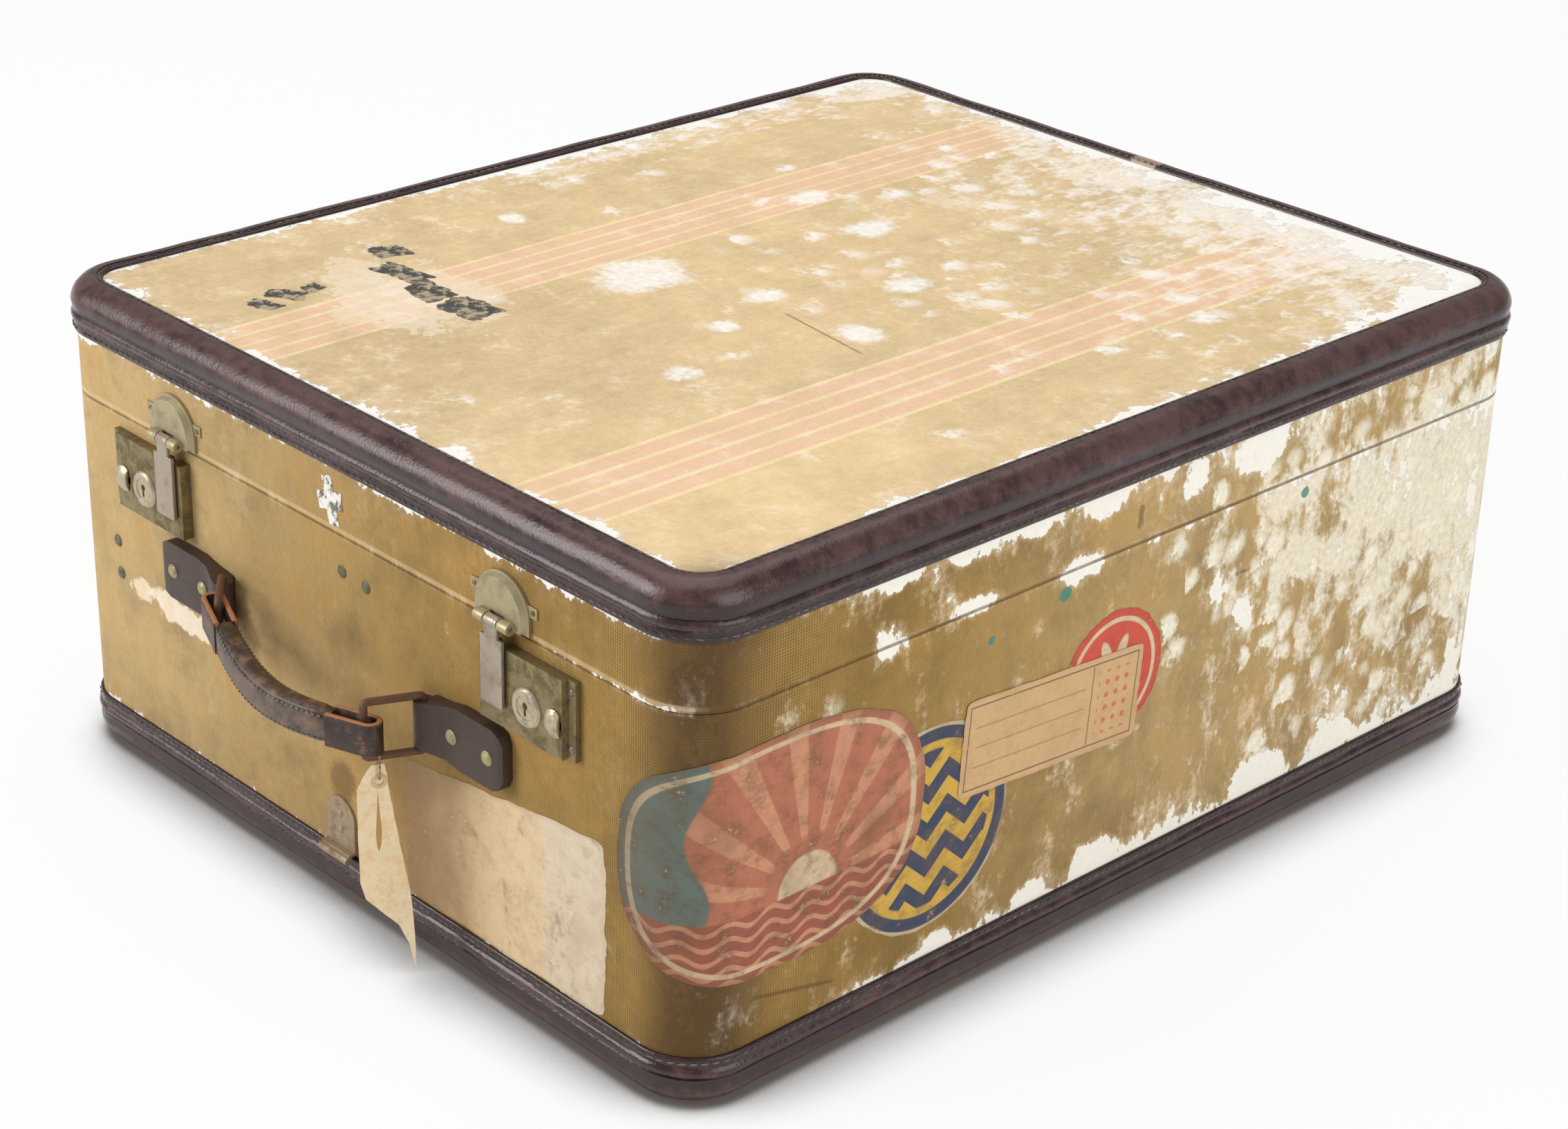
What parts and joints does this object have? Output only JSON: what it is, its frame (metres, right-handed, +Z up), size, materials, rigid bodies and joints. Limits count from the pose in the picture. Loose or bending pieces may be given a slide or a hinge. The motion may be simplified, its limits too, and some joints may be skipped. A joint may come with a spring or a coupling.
{
  "type": "suitcase",
  "caption": "Vintage canvas-covered suitcase with leather bindings, hasp locks, a strap handle on swinging links, a hinged lid and a luggage tag.",
  "frame": {"origin": "centre of the footprint of the whole part, handle and hinges included, at the plane it stands on", "axes": "+X along the handle side to the right, +Y from the handle to the hinges, +Z up"},
  "size_m": [0.44, 0.5746, 0.23],
  "materials": {
    "fibreboard": "raw",
    "canvas": "worn woven canvas",
    "binding_leather": "worn rolled leather",
    "lining_paper": "matt printed paper",
    "lip_board": "paper covered",
    "lock_brass": "tarnished",
    "lock_nickel": "dull plate",
    "lock_steel": "dull",
    "hasp_nickel": "worn plate",
    "rivet_brass": "tarnished",
    "tab_leather": "worn",
    "link_iron": "rusted wire",
    "handle_leather": "worn, scuffed",
    "hinge_steel": "dull",
    "clasp_steel": "dull grey",
    "stud_brass": "corroded",
    "tag_paper": "manila",
    "tag_fibre": "fibre washer",
    "tag_string": "cotton string"
  },
  "bodies": {
    "base": {"base_board": "fibreboard", "base_band": "fibreboard", "base_canvas": "canvas", "base_binding": "binding_leather", "base_lining": "lining_paper", "base_lip": "lip_board", "lock_plate_left": "lock_brass", "lock_plate_right": "lock_brass", "lock_rosette_left": "lock_nickel", "lock_rosette_right": "lock_nickel", "lock_rivets": "lock_steel", "handle_tab_left": "tab_leather", "handle_tab_right": "tab_leather", "handle_tab_rivets": "rivet_brass", "hinge_base_leaf_left": "hinge_steel", "hinge_base_leaf_right": "hinge_steel", "hinge_pin_left": "hinge_steel", "hinge_pin_right": "hinge_steel", "hinge_base_rivets": "hinge_steel", "clasp_plate": "clasp_steel", "clasp_rivets": "clasp_steel", "front_studs": "stud_brass"},
    "lid": {"lid_board": "fibreboard", "lid_band": "fibreboard", "lid_canvas": "canvas", "lid_binding": "binding_leather", "lid_lining": "lining_paper", "hasp_plate_left": "lock_brass", "hasp_plate_right": "lock_brass", "hasp_pin_left": "lock_steel", "hasp_pin_right": "lock_steel", "hasp_plate_rivets": "lock_steel", "hinge_lid_leaf_left": "hinge_steel", "hinge_lid_leaf_right": "hinge_steel", "hinge_lid_rivets": "hinge_steel"},
    "lock_barrel_left": {"lock_barrel_left": "lock_steel"},
    "lock_barrel_right": {"lock_barrel_right": "lock_steel"},
    "bolt_left": {"lock_bolt_left": "lock_steel", "lock_button_left": "lock_nickel"},
    "bolt_right": {"lock_bolt_right": "lock_steel", "lock_button_right": "lock_nickel"},
    "hasp_left": {"hasp_left": "hasp_nickel"},
    "hasp_right": {"hasp_right": "hasp_nickel"},
    "link_left": {"handle_link_left": "link_iron"},
    "link_right": {"handle_link_right": "link_iron"},
    "handle": {"handle_loop_left": "handle_leather", "handle_loop_right": "handle_leather", "handle_grip": "handle_leather"},
    "tag": {"tag": "tag_paper", "tag_eyelet": "tag_fibre", "tag_string": "tag_string"}
  },
  "joints": [
    {"name": "lid_hinge", "type": "hinge", "parent": "base", "child": "lid", "pos_m": [0, 0.2791, 0.1762], "axis": [-1, 0, 0], "range_deg": [0, 105]},
    {"name": "hasp_left_hinge", "type": "hinge", "parent": "lid", "child": "hasp_left", "pos_m": [-0.122, -0.2484, 0.1804], "axis": [-1, 0, 0], "range_deg": [0, 110]},
    {"name": "hasp_right_hinge", "type": "hinge", "parent": "lid", "child": "hasp_right", "pos_m": [0.108, -0.2484, 0.1804], "axis": [-1, 0, 0], "range_deg": [0, 110]},
    {"name": "lock_barrel_left_turn", "type": "hinge", "parent": "base", "child": "lock_barrel_left", "pos_m": [-0.1415, -0.2477, 0.15], "axis": [0, 1, 0], "range_deg": [0, 90]},
    {"name": "lock_barrel_right_turn", "type": "hinge", "parent": "base", "child": "lock_barrel_right", "pos_m": [0.1275, -0.2477, 0.15], "axis": [0, -1, 0], "range_deg": [0, 90]},
    {"name": "bolt_left_slide", "type": "slide", "parent": "base", "child": "bolt_left", "axis": [1, 0, 0], "range_m": [0, 0.003]},
    {"name": "bolt_right_slide", "type": "slide", "parent": "base", "child": "bolt_right", "axis": [-1, 0, 0], "range_m": [0, 0.003]},
    {"name": "handle_pull", "type": "slide", "parent": "base", "child": "handle", "axis": [0, -1, 0], "range_m": [-0.004, 0.0025]},
    {"name": "link_left_swing", "type": "hinge", "parent": "base", "child": "link_left", "pos_m": [-0.0815, -0.2492, 0.11725], "axis": [0, 0, -1], "range_deg": [-8.84, 5.53]},
    {"name": "link_right_swing", "type": "hinge", "parent": "base", "child": "link_right", "pos_m": [0.0625, -0.2492, 0.11725], "axis": [0, 0, 1], "range_deg": [-12.4, 7.75]},
    {"name": "tag_swing", "type": "hinge", "parent": "link_right", "child": "tag", "pos_m": [0.05457, -0.26702, 0.10455], "axis": [-0.4067, -0.9135, 0], "range_deg": [-8, 35]}
  ],
  "couplings": [
    {"joint": "link_left_swing", "follows": "handle_pull", "rad_per_m": 38.572},
    {"joint": "link_right_swing", "follows": "handle_pull", "rad_per_m": 54.105}
  ]
}
